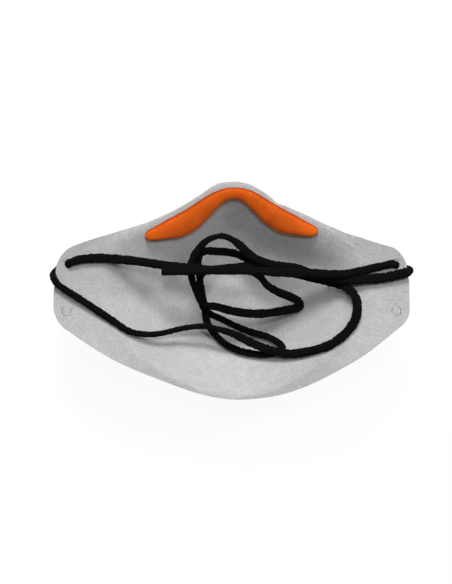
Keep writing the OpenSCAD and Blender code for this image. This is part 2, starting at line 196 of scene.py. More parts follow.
def wing_end(side, count):
    """Points of a wing's straight end."""
    y = np.linspace(LOWER[side][1], UPPER[side][1], count)
    return np.stack([leaned(np.full(count, side * HALF_W), y), y], 1)


def outline_by_angle():
    """Distance of the mask's edge from the origin, for each direction."""
    x = np.linspace(-HALF_W, HALF_W, 1601)
    loop = np.concatenate([np.stack([x, high_edge(x)], 1), np.stack([x[::-1], low_edge(x[::-1])], 1)])
    sides = [wing_end(s, 60) for s in (-1, 1)]
    loop = np.concatenate([loop] + sides)
    angle = np.arctan2(loop[:, 1], loop[:, 0])
    order = np.argsort(angle)
    return angle[order], np.hypot(loop[order, 0], loop[order, 1])


EDGE_ANGLE, EDGE_RADIUS = outline_by_angle()


def soft(v, r):
    """v from 0 to 1, with its start rounded off."""
    return (np.sqrt(v * v + r * r) - r) / (np.sqrt(1 + r * r) - r)


def bowl_z(x, y):
    """Height of the inner face over a plan point."""
    y = y + FLOOR_SHIFT * hump(np.hypot(x, y), 0, FLOOR_REACH)
    rho = np.hypot(x, y)
    angle = np.arctan2(y, x)
    outer = np.interp(angle, EDGE_ANGLE, EDGE_RADIUS, period=2 * math.pi)
    to_nose = smooth_step(np.sin(angle), -EYE_TURN, EYE_TURN)
    power = CHIN_EYE_POWER + (NOSE_EYE_POWER - CHIN_EYE_POWER) * to_nose
    eye = (np.abs(np.cos(angle)) / EYE_X) ** power + (np.abs(np.sin(angle)) / EYE_Y) ** power
    eye = eye ** (-1 / power)
    h = np.clip(0.5 + 0.5 * (eye - outer) / CORNER_BLEND, 0, 1)
    edge = eye * (1 - h) + outer * h - CORNER_BLEND * h * (1 - h)
    ex, ey = edge * np.cos(angle), edge * np.sin(angle)
    share = np.clip((rho - PAD_R) / (edge - PAD_R), 0, 1)
    nose = smooth_step(ey, -NOSE_FADE, NOSE_FADE)
    ax = np.minimum(np.abs(ex) / CREASE_X, 1)
    dip = (CHIN_DIP + (NOSE_DIP - CHIN_DIP) * nose) * (1 - ax**2) ** 2
    steep_nose = (NOSE_STEEP - CHEEK_STEEP) * np.exp(-((ex / NOSE_REACH) ** 2))
    steep_chin = (CHIN_STEEP - CHEEK_STEEP) * np.exp(-((ex / CHIN_REACH) ** 2))
    power = CHEEK_STEEP + steep_chin + (steep_nose - steep_chin) * nose
    inner = 1 - soft(1 - share, CREASE_ROUND * ax**4 + LEAST_ROUND + NOSE_LIP * nose * (1 - ax**2))
    rise = np.maximum(0, soft(inner, FLOOR_ROUND)) ** power
    return LAMINATE + (WING_Z - dip - LAMINATE) * rise


def crease(x, y, start, end, reach):
    """Share of a soft crease that runs straight from one plan point to another."""
    along = np.subtract(end, start)
    t = np.clip(((x - start[0]) * along[0] + (y - start[1]) * along[1]) / (along @ along), 0, 1)
    return hump(np.hypot(x - start[0] - t * along[0], y - start[1] - t * along[1]), 0, reach)


def phase(x, y, turns):
    return x * turns[0] + y * turns[1]


def folds(x, y):
    """Creases left where the wings have been bent."""
    total = 0
    for height, centre, reach, beat, run, waver, along in FOLD_PATCHES:
        patch = hump(x, centre[0], reach[0]) * hump(y, centre[1], reach[1])
        patch = patch * (0.5 + 0.5 * np.sin(phase(x, y, beat)))
        total = total + height * patch * np.sin(phase(x, y, run) + waver * np.sin(phase(x, y, along)))
    return total


def trough(x, y):
    climb = (y - TROUGH_Y) / TROUGH_REACH
    nose = smooth_step(np.abs(x), NOSE_TROUGH_X, TROUGH_FULL_X) * (NOSE_TROUGH * climb**2 - TROUGH_LOW)
    chin = smooth_step(np.abs(x), CHIN_TROUGH_X, TROUGH_FULL_X) * (CHIN_TROUGH * climb**2 - TROUGH_LOW)
    return np.where(climb > 0, nose, chin)


def ripple(x, y):
    """What a moulded and handled sheet adds to the bowl's even shape."""
    wave = WAVE * np.sin(x / 13 + 0.8 * np.sin(y / 17)) * np.sin(y / 15 + 1.3 + 0.6 * np.sin(x / 21))
    keep = smooth_step(np.hypot(x, y), PAD_R, PAD_R + 12)
    valleys = sum(depth * crease(x, y, start, end, reach) for depth, start, end, reach in VALLEYS)
    return wave * keep + folds(x, y) + trough(x, y) - valleys


def face_z(x, y):
    return bowl_z(x, y) + ripple(x, y)


def face_normal(x, y, step=0.15):
    """Unit direction towards the wearer."""
    dx = (face_z(x + step, y) - face_z(x - step, y)) / (2 * step)
    dy = (face_z(x, y + step) - face_z(x, y - step)) / (2 * step)
    n = np.stack([-dx, -dy, np.ones_like(dx)], -1)
    return n / np.linalg.norm(n, axis=-1, keepdims=True)


def on_face(x, y, depth):
    """A point at a depth below the inner face. A negative depth is on the wearer's side."""
    x, y = np.broadcast_arrays(np.asarray(x, float), np.asarray(y, float))
    n = face_normal(x * SLOPE_INSET, y * SLOPE_INSET)
    p = np.stack([x, y, face_z(x, y)], -1)
    return p - np.asarray(depth)[..., None] * n


# ---------------------------------------------------------------- mesh helpers
def new_piece(name, verts, faces, material):
    mesh = bpy.data.meshes.new(name)
    mesh.from_pydata((np.asarray(verts).reshape(-1, 3) * MM).tolist(), [], faces)
    mesh.validate()
    piece = bpy.data.objects.new(name, mesh)
    bpy.context.scene.collection.objects.link(piece)
    mesh.materials.append(material)
    return piece


def finish_mesh(piece, sharp=40):
    """Consistent outward faces, smooth except over real edges."""
    bm = bmesh.new()
    bm.from_mesh(piece.data)
    bmesh.ops.recalc_face_normals(bm, faces=bm.faces)
    bm.to_mesh(piece.data)
    bm.free()
    piece.data.shade_smooth()
    piece.data.set_sharp_from_angle(angle=math.radians(sharp))
    return piece


def solid_faces(rows, cols):
    """Faces of a closed slab made of two rows x cols grids, the first on top."""
    count = rows * cols
    at = np.arange(count).reshape(rows, cols)
    quads = np.stack([at[:-1, :-1], at[1:, :-1], at[1:, 1:], at[:-1, 1:]], -1).reshape(-1, 4)
    border = np.concatenate([at[0, :], at[1:, -1], at[-1, -2::-1], at[-2:0:-1, 0]])
    after = np.roll(border, -1)
    walls = np.stack([border, after, after + count, border + count], -1)
    return np.concatenate([quads, quads[:, ::-1] + count, walls]).tolist()


def applied(piece):
    """Writes a piece's modifiers into its mesh."""
    graph = bpy.context.evaluated_depsgraph_get()
    mesh = bpy.data.meshes.new_from_object(piece.evaluated_get(graph))
    piece.modifiers.clear()
    piece.data = mesh
    return piece


def cut(piece, cutter):
    boolean = piece.modifiers.new("holes", "BOOLEAN")
    boolean.operation = "DIFFERENCE"
    boolean.solver = "EXACT"
    boolean.object = cutter
    applied(piece)


def punch(side):
    """Cutter for the two holes of a wing."""
    steps, overrun = 72, 4
    turn = np.linspace(0, 2 * math.pi, steps, endpoint=False)
    verts, faces = [], []
    for centre_y in (EYELET_Y, SPARE_Y):
        base = len(verts)
        x, y = side * HOLE_X + HOLE_R * np.cos(turn), centre_y + HOLE_R * np.sin(turn)
        for z in (WING_Z - LAMINATE - overrun, WING_Z + overrun):
            verts.extend(np.stack([x, y, np.full(steps, z)], 1).tolist())
        for k in range(steps):
            n = (k + 1) % steps
            faces.append((base + k, base + n, base + steps + n, base + steps + k))
        faces.append(tuple(range(base + steps - 1, base - 1, -1)))
        faces.append(tuple(range(base + steps, base + 2 * steps)))
    return finish_mesh(new_piece("punch", verts, faces, PLAIN))


# ---------------------------------------------------------------- materials
PLAIN = bpy.data.materials.new("plain")  # for the cutters, which are removed after use


class Paint:
    """Short-hand for building one node material."""

    def __init__(self, name):
        self.material = bpy.data.materials.new(name)
        self.material.use_nodes = True
        self.tree = self.material.node_tree
        self.shader = self.tree.nodes["Principled BSDF"]
        coordinates = self.tree.nodes.new("ShaderNodeTexCoord")
        scale = self.tree.nodes.new("ShaderNodeVectorMath")
        scale.operation = "SCALE"
        scale.inputs["Scale"].default_value = 1 / MM
        self.tree.links.new(coordinates.outputs["Object"], scale.inputs[0])
        self.place = scale.outputs[0]

    def link(self, source, target):
        self.tree.links.new(source, target)

    def stretch(self, turn, scale):
        node = self.tree.nodes.new("ShaderNodeMapping")
        node.inputs["Rotation"].default_value = turn
        node.inputs["Scale"].default_value = scale
        self.link(self.place, node.inputs["Vector"])
        return node.outputs[0]

    def noise(self, scale, detail=3, rough=0.55, place=None, distortion=0.0):
        node = self.tree.nodes.new("ShaderNodeTexNoise")
        node.inputs["Scale"].default_value = scale
        node.inputs["Detail"].default_value = detail
        node.inputs["Roughness"].default_value = rough
        node.inputs["Distortion"].default_value = distortion
        self.link(place or self.place, node.inputs["Vector"])
        return node.outputs["Fac"]

    def cells(self, scale, randomness=1.0):
        node = self.tree.nodes.new("ShaderNodeTexVoronoi")
        node.inputs["Scale"].default_value = scale
        node.inputs["Randomness"].default_value = randomness
        self.link(self.place, node.inputs["Vector"])
        return node.outputs["Distance"]

    def attribute(self, name):
        node = self.tree.nodes.new("ShaderNodeAttribute")
        node.attribute_name = name
        return node.outputs["Fac"]

    def maths(self, kind, a, b):
        node = self.tree.nodes.new("ShaderNodeMath")
        node.operation = kind
        self.link(a, node.inputs[0])
        if isinstance(b, (int, float)):
            node.inputs[1].default_value = b
        else:
            self.link(b, node.inputs[1])
        return node.outputs[0]

    def ramp(self, value, low, high, a=0.0, b=1.0):
        node = self.tree.nodes.new("ShaderNodeMapRange")
        node.inputs["From Min"].default_value = low
        node.inputs["From Max"].default_value = high
        node.inputs["To Min"].default_value = a
        node.inputs["To Max"].default_value = b
        self.link(value, node.inputs["Value"])
        return node.outputs[0]

    def mix(self, share, a, b):
        node = self.tree.nodes.new("ShaderNodeMix")
        node.data_type = "RGBA"
        for socket, v in ((node.inputs[0], share), (node.inputs[6], a), (node.inputs[7], b)):
            if isinstance(v, tuple):
                socket.default_value = (*v, 1)
            else:
                self.link(v, socket)
        return node.outputs[2]

    def bump(self, height, depth, after=None):
        """Bump with a real depth in millimetres."""
        node = self.tree.nodes.new("ShaderNodeBump")
        node.inputs["Distance"].default_value = depth * MM
        node.inputs["Strength"].default_value = 1.0
        self.link(height, node.inputs["Height"])
        if after:
            self.link(after, node.inputs["Normal"])
        return node.outputs[0]

    def finish(self, colour, roughness, normal, sheen=0.0, metallic=0.0, shine=0.5):
        self.shader.inputs["Specular IOR Level"].default_value = shine
        self.link(colour, self.shader.inputs["Base Color"])
        if isinstance(roughness, float):
            self.shader.inputs["Roughness"].default_value = roughness
        else:
            self.link(roughness, self.shader.inputs["Roughness"])
        self.link(normal, self.shader.inputs["Normal"])
        self.shader.inputs["Sheen Weight"].default_value = sheen
        self.shader.inputs["Sheen Roughness"].default_value = 0.5
        self.shader.inputs["Metallic"].default_value = metallic
        return self.material


def fibres(paint):
    """Loose fibres lying every way in a web: streaks at several angles, laid over one another."""
    total = None
    for turn, fine in ((0.3, 1.0), (1.25, 1.2), (2.1, 0.9), (2.8, 1.1)):
        place = paint.stretch((0.2, 0.3, turn), (0.35 * fine, 4.5 * fine, 1.6))
        streak = paint.ramp(paint.noise(0.8, 2, 0.5, place, 0.6), 0.35, 0.75)
        total = streak if total is None else paint.maths("MAXIMUM", total, streak)
    return total


def web_material(name, colour, mottle, bump, emboss=0.0):
    """Non-woven web: fibres and flock over a cloudy grey, with a faint lay across the sheet."""
    paint = Paint(name)
    web = fibres(paint)
    cloud = paint.noise(0.16, 4, 0.6)
    flock = paint.noise(0.75, 4, 0.7, distortion=0.5)
    grain = paint.noise(2.2, 3, 0.65)
    dark = tuple(c * (1 - mottle) for c in colour)
    light = tuple(min(1.0, c * (1 + 0.6 * mottle)) for c in colour)
    tone = paint.mix(paint.ramp(cloud, 0.3, 0.7), dark, light)
    tone = paint.mix(paint.ramp(web, 0.2, 1.0, 0.0, 0.35), tone, light)
    deep = tuple(c * (1 - 2.4 * mottle) for c in colour)
    tone = paint.mix(paint.ramp(flock, 0.54, 0.36, 0.0, 0.6), tone, deep)
    lay = paint.noise(1.0, 2, 0.5, paint.stretch((0.0, 0.0, 0.12), (1.1, 0.1, 0.4)))
    tone = paint.mix(paint.ramp(lay, 0.52, 0.36, 0.0, 0.45), tone, dark)
    height = paint.maths("ADD", paint.maths("MULTIPLY", grain, 0.8), web)
    height = paint.maths("ADD", height, paint.maths("MULTIPLY", lay, 0.8))
    height = paint.maths("ADD", height, paint.maths("MULTIPLY", flock, 1.2))
    normal = paint.bump(height, bump)
    if emboss:
        dots = paint.ramp(paint.cells(0.62, randomness=0.15), 0.18, 0.34)
        normal = paint.bump(dots, emboss, normal)
        tone = paint.mix(paint.ramp(dots, 0, 1, 0.25, 0.0), tone, dark)
    return paint.finish(tone, 0.92, normal, sheen=0.08, shine=0.2)


def foam_material():
    """Orange foam with fine pores, some open pits and a line of painted shade along its nose edge, where the
    foam rolls down into shadow.
    """
    paint = Paint("orange_foam")
    pores = paint.cells(2.1)
    fine = paint.noise(3.2, 3, 0.65)
    cloud = paint.noise(0.12, 3, 0.55)
    patchy = paint.ramp(paint.noise(0.08, 2, 0.5), 0.44, 0.54)
    base = paint.mix(paint.ramp(cloud, 0.3, 0.7), (0.95, 0.137, 0.007), (1.0, 0.168, 0.01))
    tone = paint.mix(paint.ramp(pores, 0.08, 0.32, 0.4, 0.0), base, (0.4, 0.03, 0.001))
    pits = paint.maths("MULTIPLY", paint.ramp(paint.cells(0.5), 0.12, 0.2, 1.0, 0.0), patchy)
    tone = paint.mix(paint.maths("MULTIPLY", pits, 0.8), tone, (0.25, 0.015, 0.0))
    # painted shade: the foam's side wall along the nose edge is darkened to a deep red, where it lies in
    # shadow
    edge_shade = paint.maths("MULTIPLY", paint.attribute("nose_edge_shade"), 0.75)
    tone = paint.mix(edge_shade, tone, (0.3, 0.03, 0.004))
    height = paint.maths("ADD", paint.ramp(pores, 0.0, 0.45), paint.maths("MULTIPLY", fine, 0.7))
    height = paint.maths("SUBTRACT", height, pits)
    return paint.finish(tone, 0.85, paint.bump(height, 0.09), sheen=0.04, shine=0.15)


def cord_material():
    paint = Paint("black_knit")
    yarn = paint.noise(1.7, 4, 0.7)
    fluff = paint.noise(7.0, 2, 0.6)
    tone = paint.mix(paint.ramp(yarn, 0.35, 0.7), (0.0012, 0.0012, 0.0013), (0.0075, 0.0075, 0.008))
    height = paint.maths("ADD", yarn, paint.maths("MULTIPLY", fluff, 0.6))
    return paint.finish(tone, 0.95, paint.bump(height, 0.1), shine=0.12)


def clip_material():
    paint = Paint("satin_aluminium")
    brushed = paint.noise(1.0, 3, 0.6, paint.stretch((0, 0, 0), (0.12, 9, 9)))
    cloud = paint.noise(0.3, 3, 0.5)
    tone = paint.mix(cloud, (0.62, 0.63, 0.65), (0.74, 0.75, 0.77))
    rough = paint.ramp(brushed, 0.3, 0.7, 0.32, 0.5)
    return paint.finish(tone, rough, paint.bump(brushed, 0.01), metallic=1.0)


def adhesive_material():
    paint = Paint("clear_adhesive")
    cloud = paint.noise(0.8, 3, 0.6)
    tone = paint.mix(cloud, (0.62, 0.6, 0.52), (0.74, 0.72, 0.64))
    paint.shader.inputs["Alpha"].default_value = 0.75
    return paint.finish(tone, 0.35, paint.bump(cloud, 0.03))


LINER = web_material("liner_web", (0.71, 0.714, 0.718), 0.11, 0.2)
STIFFENER = web_material("stiffener_web", (0.5, 0.505, 0.51), 0.06, 0.08)
FILTER = web_material("filter_web", (0.78, 0.78, 0.77), 0.03, 0.04)
COVER = web_material("cover_web", (0.34, 0.35, 0.36), 0.09, 0.05, emboss=0.06)
FOAM = foam_material()
CORD = cord_material()
CLIP = clip_material()
ADHESIVE = adhesive_material()

# ---------------------------------------------------------------- laminated bowl and wings
ROWS, CUP_COLUMNS = 132, 141
WING_STEP, CORNER_STEPS = 0.55, 30
WELD_BAND, WELD_FULL, WELD_SHARE = 2.6, 0.3, 0.5  # the pressed edge: its width, its full part, its thinning
PLIES = [
    ("inner_liner", LINER, "liner"),
    ("stiffener", STIFFENER, "stiffener"),
    ("filter_layer", FILTER, "filter"),
    ("outer_cover", COVER, "outer_cover"),
]


def wing_columns():
    """Places of the mesh rows across a right wing, closer together at its round end."""
    straight = np.arange(SEAM_X, HALF_W - UPPER_R[1], WING_STEP)
    turn = np.linspace(0, math.pi / 2, CORNER_STEPS)
    return np.concatenate([straight, HALF_W - UPPER_R[1] * (1 - np.sin(turn))])


def grid(columns):
    """Plan points of a stretch of the sheet, one row of points for each x."""
    v = np.linspace(0, 1, ROWS)
    x = np.repeat(columns[:, None], ROWS, 1)
    low, high = low_edge(columns)[:, None], high_edge(columns)[:, None]
    y = low + (high - low) * v[None, :]
    return leaned(x, y), y


def edge_points():
    x = HALF_W * np.sin(np.linspace(-math.pi / 2, math.pi / 2, 700))
    rows = [np.stack([leaned(x, y), y], 1) for y in (high_edge(x), low_edge(x))]
    rows += [wing_end(s, 80) for s in (-1, 1)]
    return np.concatenate(rows)


EDGE = edge_points()


def rim_distance(x, y):
    """Plan distance to the mask's edge, worked out a batch of points at a time."""
    batch = 2000
    flat = np.stack([x.ravel(), y.ravel()], 1)
    out = np.empty(len(flat))
    for i in range(0, len(flat), batch):
        near = flat[i:i + batch]
        out[i:i + batch] = np.sqrt(((near[:, None, :] - EDGE[None]) ** 2).sum(-1).min(1))
    return out.reshape(x.shape)


PARTS = {
    "left_wing": -wing_columns()[::-1],
    "cup": np.linspace(-SEAM_X, SEAM_X, CUP_COLUMNS),
    "right_wing": wing_columns(),
}
PLAN = {}
for part, columns in PARTS.items():
    px, py = grid(columns)
    PLAN[part] = (px, py, smooth_step(rim_distance(px, py), WELD_BAND, WELD_FULL))


def bend_across(piece):
    """Bakes a piece's placement into its mesh; the piece is neither bent nor given a body."""
    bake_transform(piece)


def layer(part, kind, material, slot):
    """One ply of the laminate over one part. The welded edge presses all plies thinner."""
    node = f"{part}_{kind}"
    low, high = box_mm(f"right_wing_{kind}")
    near, far = WING_Z - high[2], WING_Z - low[2]
    x, y, weld = PLAN[part]
    thin = 1 - WELD_SHARE * weld
    top = on_face(x, y, near * thin)
    under = on_face(x, y, far * thin)
    verts = np.concatenate([top.reshape(-1, 3), under.reshape(-1, 3)])
    piece = new_piece(f"{part}_{kind}_sheet", verts, solid_faces(*x.shape), material)
    finish_mesh(piece)
    if part in SIDE:
        cut(piece, CUTTERS[part])
        finish_mesh(piece)
    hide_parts(node)
    if part in SIDE:
        bend_across(piece)
    else:
        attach(piece, "cup")


CUTTERS = {part: punch(side) for part, side in SIDE.items()}
for part in PARTS:
    for ply in PLIES:
        layer(part, *ply)
for cutter in CUTTERS.values():
    bpy.data.objects.remove(cutter)

# ---------------------------------------------------------------- slugs of the holes
SLUG_FIT = HOLE_R - 0.03
SLUG_SUNK, SLUG_TILT = 0.1, 0.1
# Share of the radius and depth: a groove around the face, a close fit below it, a soft lower edge.
SLUG_PROFILE = [
    (0.0, 0.0), (0.55, 0.0), (0.88, 0.02), (0.915, 0.1), (0.92, 0.3), (0.925, 0.8),
    (0.995, 1.0), (1.0, 1.75), (0.98, 1.93), (0.93, 2.0), (0.0, 2.0),
]
SLUG_BACK = 1.9  # what lies deeper than this shows the outer cover
FLAP_GAP, FLAP_SPAN, FLAP_DEEPEST = 0.05, 0.97, 0.9
FLAP_DROOP, FLAP_T = 0.5, 0.8


def slug(side, body):
    """The cut disc that still closes a spare hole, with softly torn edges."""
    steps = 64
    centre = np.array([side * HOLE_X, (SLUG_LOW[1] + SLUG_HIGH[1]) / 2])
    turn = np.linspace(0, 2 * math.pi, steps, endpoint=False)
    base_z = face_z(centre[0], centre[1]) - SLUG_SUNK
    verts, faces, rings = [], [], []
    for share, depth in SLUG_PROFILE:
        if share == 0:
            rings.append([len(verts)])
            verts.append([centre[0], centre[1], base_z - depth])
            continue
        ragged = 1 + 0.006 * np.sin(turn * 9 + depth * 3) + 0.004 * np.sin(turn * 23 + 1)
        rings.append(list(range(len(verts), len(verts) + steps)))
        for a, r in zip(turn, ragged):
            reach = SLUG_FIT * share * r
            dip = SLUG_TILT * reach * (1 + math.sin(a)) / 2
            x, y = centre[0] + reach * math.cos(a), centre[1] + reach * math.sin(a)
            verts.append([x, y, base_z - depth - dip])
    for ring, following in zip(rings, rings[1:]):
        for k in range(steps):
            n = (k + 1) % steps
            if len(ring) == 1:
                faces.append((ring[0], following[n], following[k]))
            elif len(following) == 1:
                faces.append((ring[k], ring[n], following[0]))
            else:
                faces.append((ring[k], ring[n], following[n], following[k]))
    piece = finish_mesh(new_piece(f"{body}_disc", verts, faces, LINER), 50)
    piece.data.materials.append(COVER)
    for polygon in piece.data.polygons:
        if polygon.center[2] < (base_z - SLUG_BACK) * MM:
            polygon.material_index = 1
    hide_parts(body.replace("_slug", "_hole_slug"))
    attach(piece, body)


def eyelet_flap(body, reach, sunk):
    """What is left of the slug in an eyelet, pressed aside and down by the cord."""
    side = SIDE[body]
    rows, cols = 25, 13
    v = np.linspace(-FLAP_SPAN, FLAP_SPAN, rows)[:, None]
    u = np.linspace(0, 1, cols)[None, :]
    arc = np.sqrt(1 - v**2) * (HOLE_R - FLAP_GAP)
    chord = np.maximum(reach, -FLAP_DEEPEST * arc)
    x = side * (HOLE_X + arc + (chord - arc) * u)
    y = EYELET_Y + v * (HOLE_R - FLAP_GAP) + 0 * u
    z = face_z(x, y) - sunk - FLAP_DROOP * u**2
    upper, under = np.stack([x, y, z], -1), np.stack([x, y, z - FLAP_T], -1)
    verts = np.concatenate([upper.reshape(-1, 3), under.reshape(-1, 3)])
    piece = finish_mesh(new_piece(f"{body}_eyelet_flap", verts, solid_faces(rows, cols), LINER), 50)
    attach(piece, body)


slug(-1, "left_slug")
slug(1, "right_slug")
eyelet_flap("left_wing", -1.6, 0.15)
eyelet_flap("right_wing", -1.2, 0.3)

# ---------------------------------------------------------------- foam strip
FOAM_HALF, FOAM_T, FOAM_CLEAR = 51.6, 3.5, 0.15
FOAM_TILT = 0.28  # how much thinner it is towards the nose edge
FOAM_ALONG, FOAM_AROUND = 241, 40
FOAM_TIP, FOAM_TIP_T = 3.2, 0.6
FOAM_SQUARE, FOAM_CROWN = 0.85, 0.5  # powers of the section: fuller than a round, and flatter on top
# Its nose edge follows the mask's even one, shifted inward on the left and outward on the right, and is
# drawn in at the flanks and the tips. Its lower edge is a nearly level line with a rounded rise.
HIGH_SHIFT, HIGH_SWING, SWING_X, SWING_REACH = -0.1, 1.2, 8, 9
HIGH_FLANK, HIGH_TIP = 1.05, 1.6
LOW_Y, LOW_SLOPE, LOW_TIP = 34.6, 0.022, 1.4
RISE, RISE_X, RISE_REACH, RISE_POWER = 23.6, 1.1, 20.6, 2.25


def foam_high(x):
    shift = HIGH_SHIFT + HIGH_SWING * np.tanh((x - SWING_X) / SWING_REACH)
    flank = HIGH_FLANK * smooth_step(np.abs(x), 8, 26)
    return even_top_y(x) + shift - flank - HIGH_TIP * smooth_step(np.abs(x), 36, 52)


def foam_low(x):
    rise = RISE * np.exp(-(np.abs((x - RISE_X) / RISE_REACH) ** RISE_POWER))
    return LOW_Y + LOW_SLOPE * x + rise - LOW_TIP * smooth_step(np.abs(x), 36, 50)


def foam_section(x, middle, half, tip):
    """One ring of the foam: a flattened round, thinner towards the nose edge, lightly pinched and uneven."""
    a = np.linspace(0, 2 * math.pi, FOAM_AROUND, endpoint=False)
    across, up = np.cos(a), np.sin(a)
    v = np.sign(across) * np.abs(across) ** FOAM_SQUARE
    y = middle + half * v
    crown = np.where(up > 0, np.abs(up) ** FOAM_CROWN, 0)
    height = FOAM_T * (0.35 + 0.65 * tip) * crown * (1 - FOAM_TILT * v) * min(1, 0.45 + half / 8)
    pinch = 0.16 * math.exp(-(((x - 2) / 11) ** 2)) * np.sin(x * 4.2 + 0.5 * np.sin(x * 2 + y))
    uneven = np.array([noise.noise(Vector((x / 7, w / 6, 3.7))) for w in y]) * 0.25
    height = height + crown * (pinch + uneven)
    return on_face(np.full(FOAM_AROUND, x), y, -(FOAM_CLEAR + height))


def foam_strip():
    """Crowned foam, drawn together at its two tips."""
    around = FOAM_AROUND
    t = np.linspace(-1, 1, FOAM_ALONG)
    x = FOAM_HALF * (0.6 * t + 0.4 * np.sin(t * math.pi / 2))
    tip = np.clip((FOAM_HALF - np.abs(x)) / FOAM_TIP, 0, 1)
    tip = np.sqrt(np.maximum(0, 1 - (1 - tip) ** 2))
    middle = (foam_high(x) + foam_low(x)) / 2
    half = (foam_high(x) - foam_low(x)) / 2 * tip
    verts = [foam_section(x[i], middle[i], half[i], tip[i]) for i in range(1, FOAM_ALONG - 1)]
    rings = len(verts)
    faces = []
    for i in range(rings - 1):
        for k in range(around):
            n = (k + 1) % around
            faces.append((i * around + k, (i + 1) * around + k, (i + 1) * around + n, i * around + n))
    tips = [on_face(x[i], middle[i], -(FOAM_CLEAR + FOAM_TIP_T)).reshape(1, 3) for i in (0, -1)]
    verts = np.concatenate(verts + tips)
    first, last = len(verts) - 2, len(verts) - 1
    for k in range(around):
        n = (k + 1) % around
        faces.append((first, k, n))
        faces.append((last, (rings - 1) * around + n, (rings - 1) * around + k))
    piece = finish_mesh(new_piece("nose_foam_strip", verts, faces, FOAM), 75)
    # painted shade along the foam's nose-edge side wall, which the foam material turns into a darker red
    edge_shade = piece.data.attributes.new("nose_edge_shade", "FLOAT", "POINT")
    across = np.cos(np.linspace(0, 2 * math.pi, around, endpoint=False))
    shade = np.tile(smooth_step(across, 0.78, 0.95), rings)
    edge_shade.data.foreach_set("value", np.concatenate([shade, [0.0, 0.0]]).astype(np.float32))
    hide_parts("nose_foam", "nose_foam_adhesive")
    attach(piece, "cup")


foam_strip()

# ---------------------------------------------------------------- nose clip
CLIP_HALF, CLIP_W, CLIP_T = 50.0, 4.6, 0.8
CLIP_BACK = 4.4  # from the mask's edge to the middle of the strip
FILM_BORDER, FILM_T, FILM_CLEAR = 0.6, 0.12, 0.02
SOFT_EDGE = 0.12


def outer_strip(name, half, width, near, thick, material, slot, *nodes):
    """A strip on the outer face along the nose edge, with round ends and soft edges."""
    along = 181
    x = np.linspace(-half, half, along)
    slope = (top_y(x + 0.2) - top_y(x - 0.2)) / 0.4
    across = np.stack([slope, -np.ones_like(slope)], 1) / np.sqrt(1 + slope**2)[:, None]
    to_end = np.clip((half - np.abs(x)) / (width / 2), 0, 1)
    wide = width / 2 * np.sqrt(np.maximum(1e-4, 1 - (1 - to_end) ** 2))
    bevel = min(SOFT_EDGE, thick / 3)
    flat = 1 - 2 * bevel / width
    section = [(-1, bevel), (-flat, 0), (flat, 0), (1, bevel)]
    section += [(v, thick - depth) for v, depth in section[::-1]]
    verts = []
    for v, depth in section:
        px = x + across[:, 0] * (CLIP_BACK + wide * v)
        py = top_y(x) + across[:, 1] * (CLIP_BACK + wide * v)
        verts.append(on_face(px, py, np.full(along, near + depth)))
    count = len(section)
    faces = []
    for s in range(count):
        n = (s + 1) % count
        for i in range(along - 1):
            faces.append((s * along + i, s * along + i + 1, n * along + i + 1, n * along + i))
    faces.append(tuple(s * along for s in range(count)))
    faces.append(tuple(s * along + along - 1 for s in reversed(range(count))))
    piece = finish_mesh(new_piece(name, np.concatenate(verts), faces, material), 35)
    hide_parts(*nodes)
    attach(piece, "cup")


FILM_NEAR = LAMINATE + FILM_CLEAR
CLIP_NEAR = FILM_NEAR + FILM_T + FILM_CLEAR
outer_strip("nose_clip_strip", CLIP_HALF, CLIP_W, CLIP_NEAR, CLIP_T, CLIP, "clip", "nose_clip")
outer_strip(
    "nose_clip_film", CLIP_HALF + 2 * FILM_BORDER, CLIP_W + 2 * FILM_BORDER,
    FILM_NEAR, FILM_T, ADHESIVE, "adhesive", "nose_clip_adhesive",
)

# ---------------------------------------------------------------- knitted cord
STITCH, WALES = 1.7, 9  # length of a stitch, and how many run side by side around the cord
TWIST = 3.4
RELIEF = 0.48
CORD_T, CORD_W, CORD_THINNING = 2.66, 3.4, 0.16  # thickness at a width, and how it thins as the cord widens
SQUEEZED = (2.5, 2.25)  # half width and half thickness in an eyelet
RING, STEP = 44, 0.27
OVER = WING_Z + 1.7
UNDER = WING_Z - LAMINATE - 1.6


def wander(length, reach, seed, row):
    """Smooth unevenness along a cord."""
    return np.array([noise.noise(Vector((u / reach, seed, row))) for u in length])


def in_eyelet(p):
    """Share by which each point of a path lies in one of the cord's holes."""
    level = smooth_step(np.abs(p[:, 2] - WING_Z + 0.6), 1.9, 0.4)
    return level * smooth_step(np.abs(np.abs(p[:, 0]) - HOLE_X), 2.4, 1.2)


def catmull(points, step):
    """Evenly spaced points of a smooth curve through the given rows (place and width)."""
    p = np.array(points, float)
    p = np.concatenate([p[:1] * 2 - p[1:2], p, p[-1:] * 2 - p[-2:-1]])
    t = np.linspace(0, 1, 24, endpoint=False)[:, None]
    out = []
    for a, b, c, d in zip(p, p[1:], p[2:], p[3:]):
        square, cube = 2 * a - 5 * b + 4 * c - d, 3 * b - a - 3 * c + d
        out.append(0.5 * (2 * b + (c - a) * t + square * t**2 + cube * t**3))
    out = np.concatenate(out + [p[-2:-1]])
    length = np.concatenate([[0], np.cumsum(np.linalg.norm(np.diff(out[:, :3], axis=0), axis=1))])
    even = np.linspace(0, length[-1], int(round(length[-1] / step)) + 1)
    return np.stack([np.interp(even, length, out[:, k]) for k in range(out.shape[1])], 1), even


def smoothed(v, reach):
    """Rows of v averaged with their neighbours."""
    kernel = np.hanning(2 * reach + 3)
    kernel /= kernel.sum()
    padded = np.pad(v, ((reach + 1, reach + 1), (0, 0)), mode="edge")
    return np.stack([np.convolve(padded[:, k], kernel, "valid") for k in range(v.shape[1])], 1)


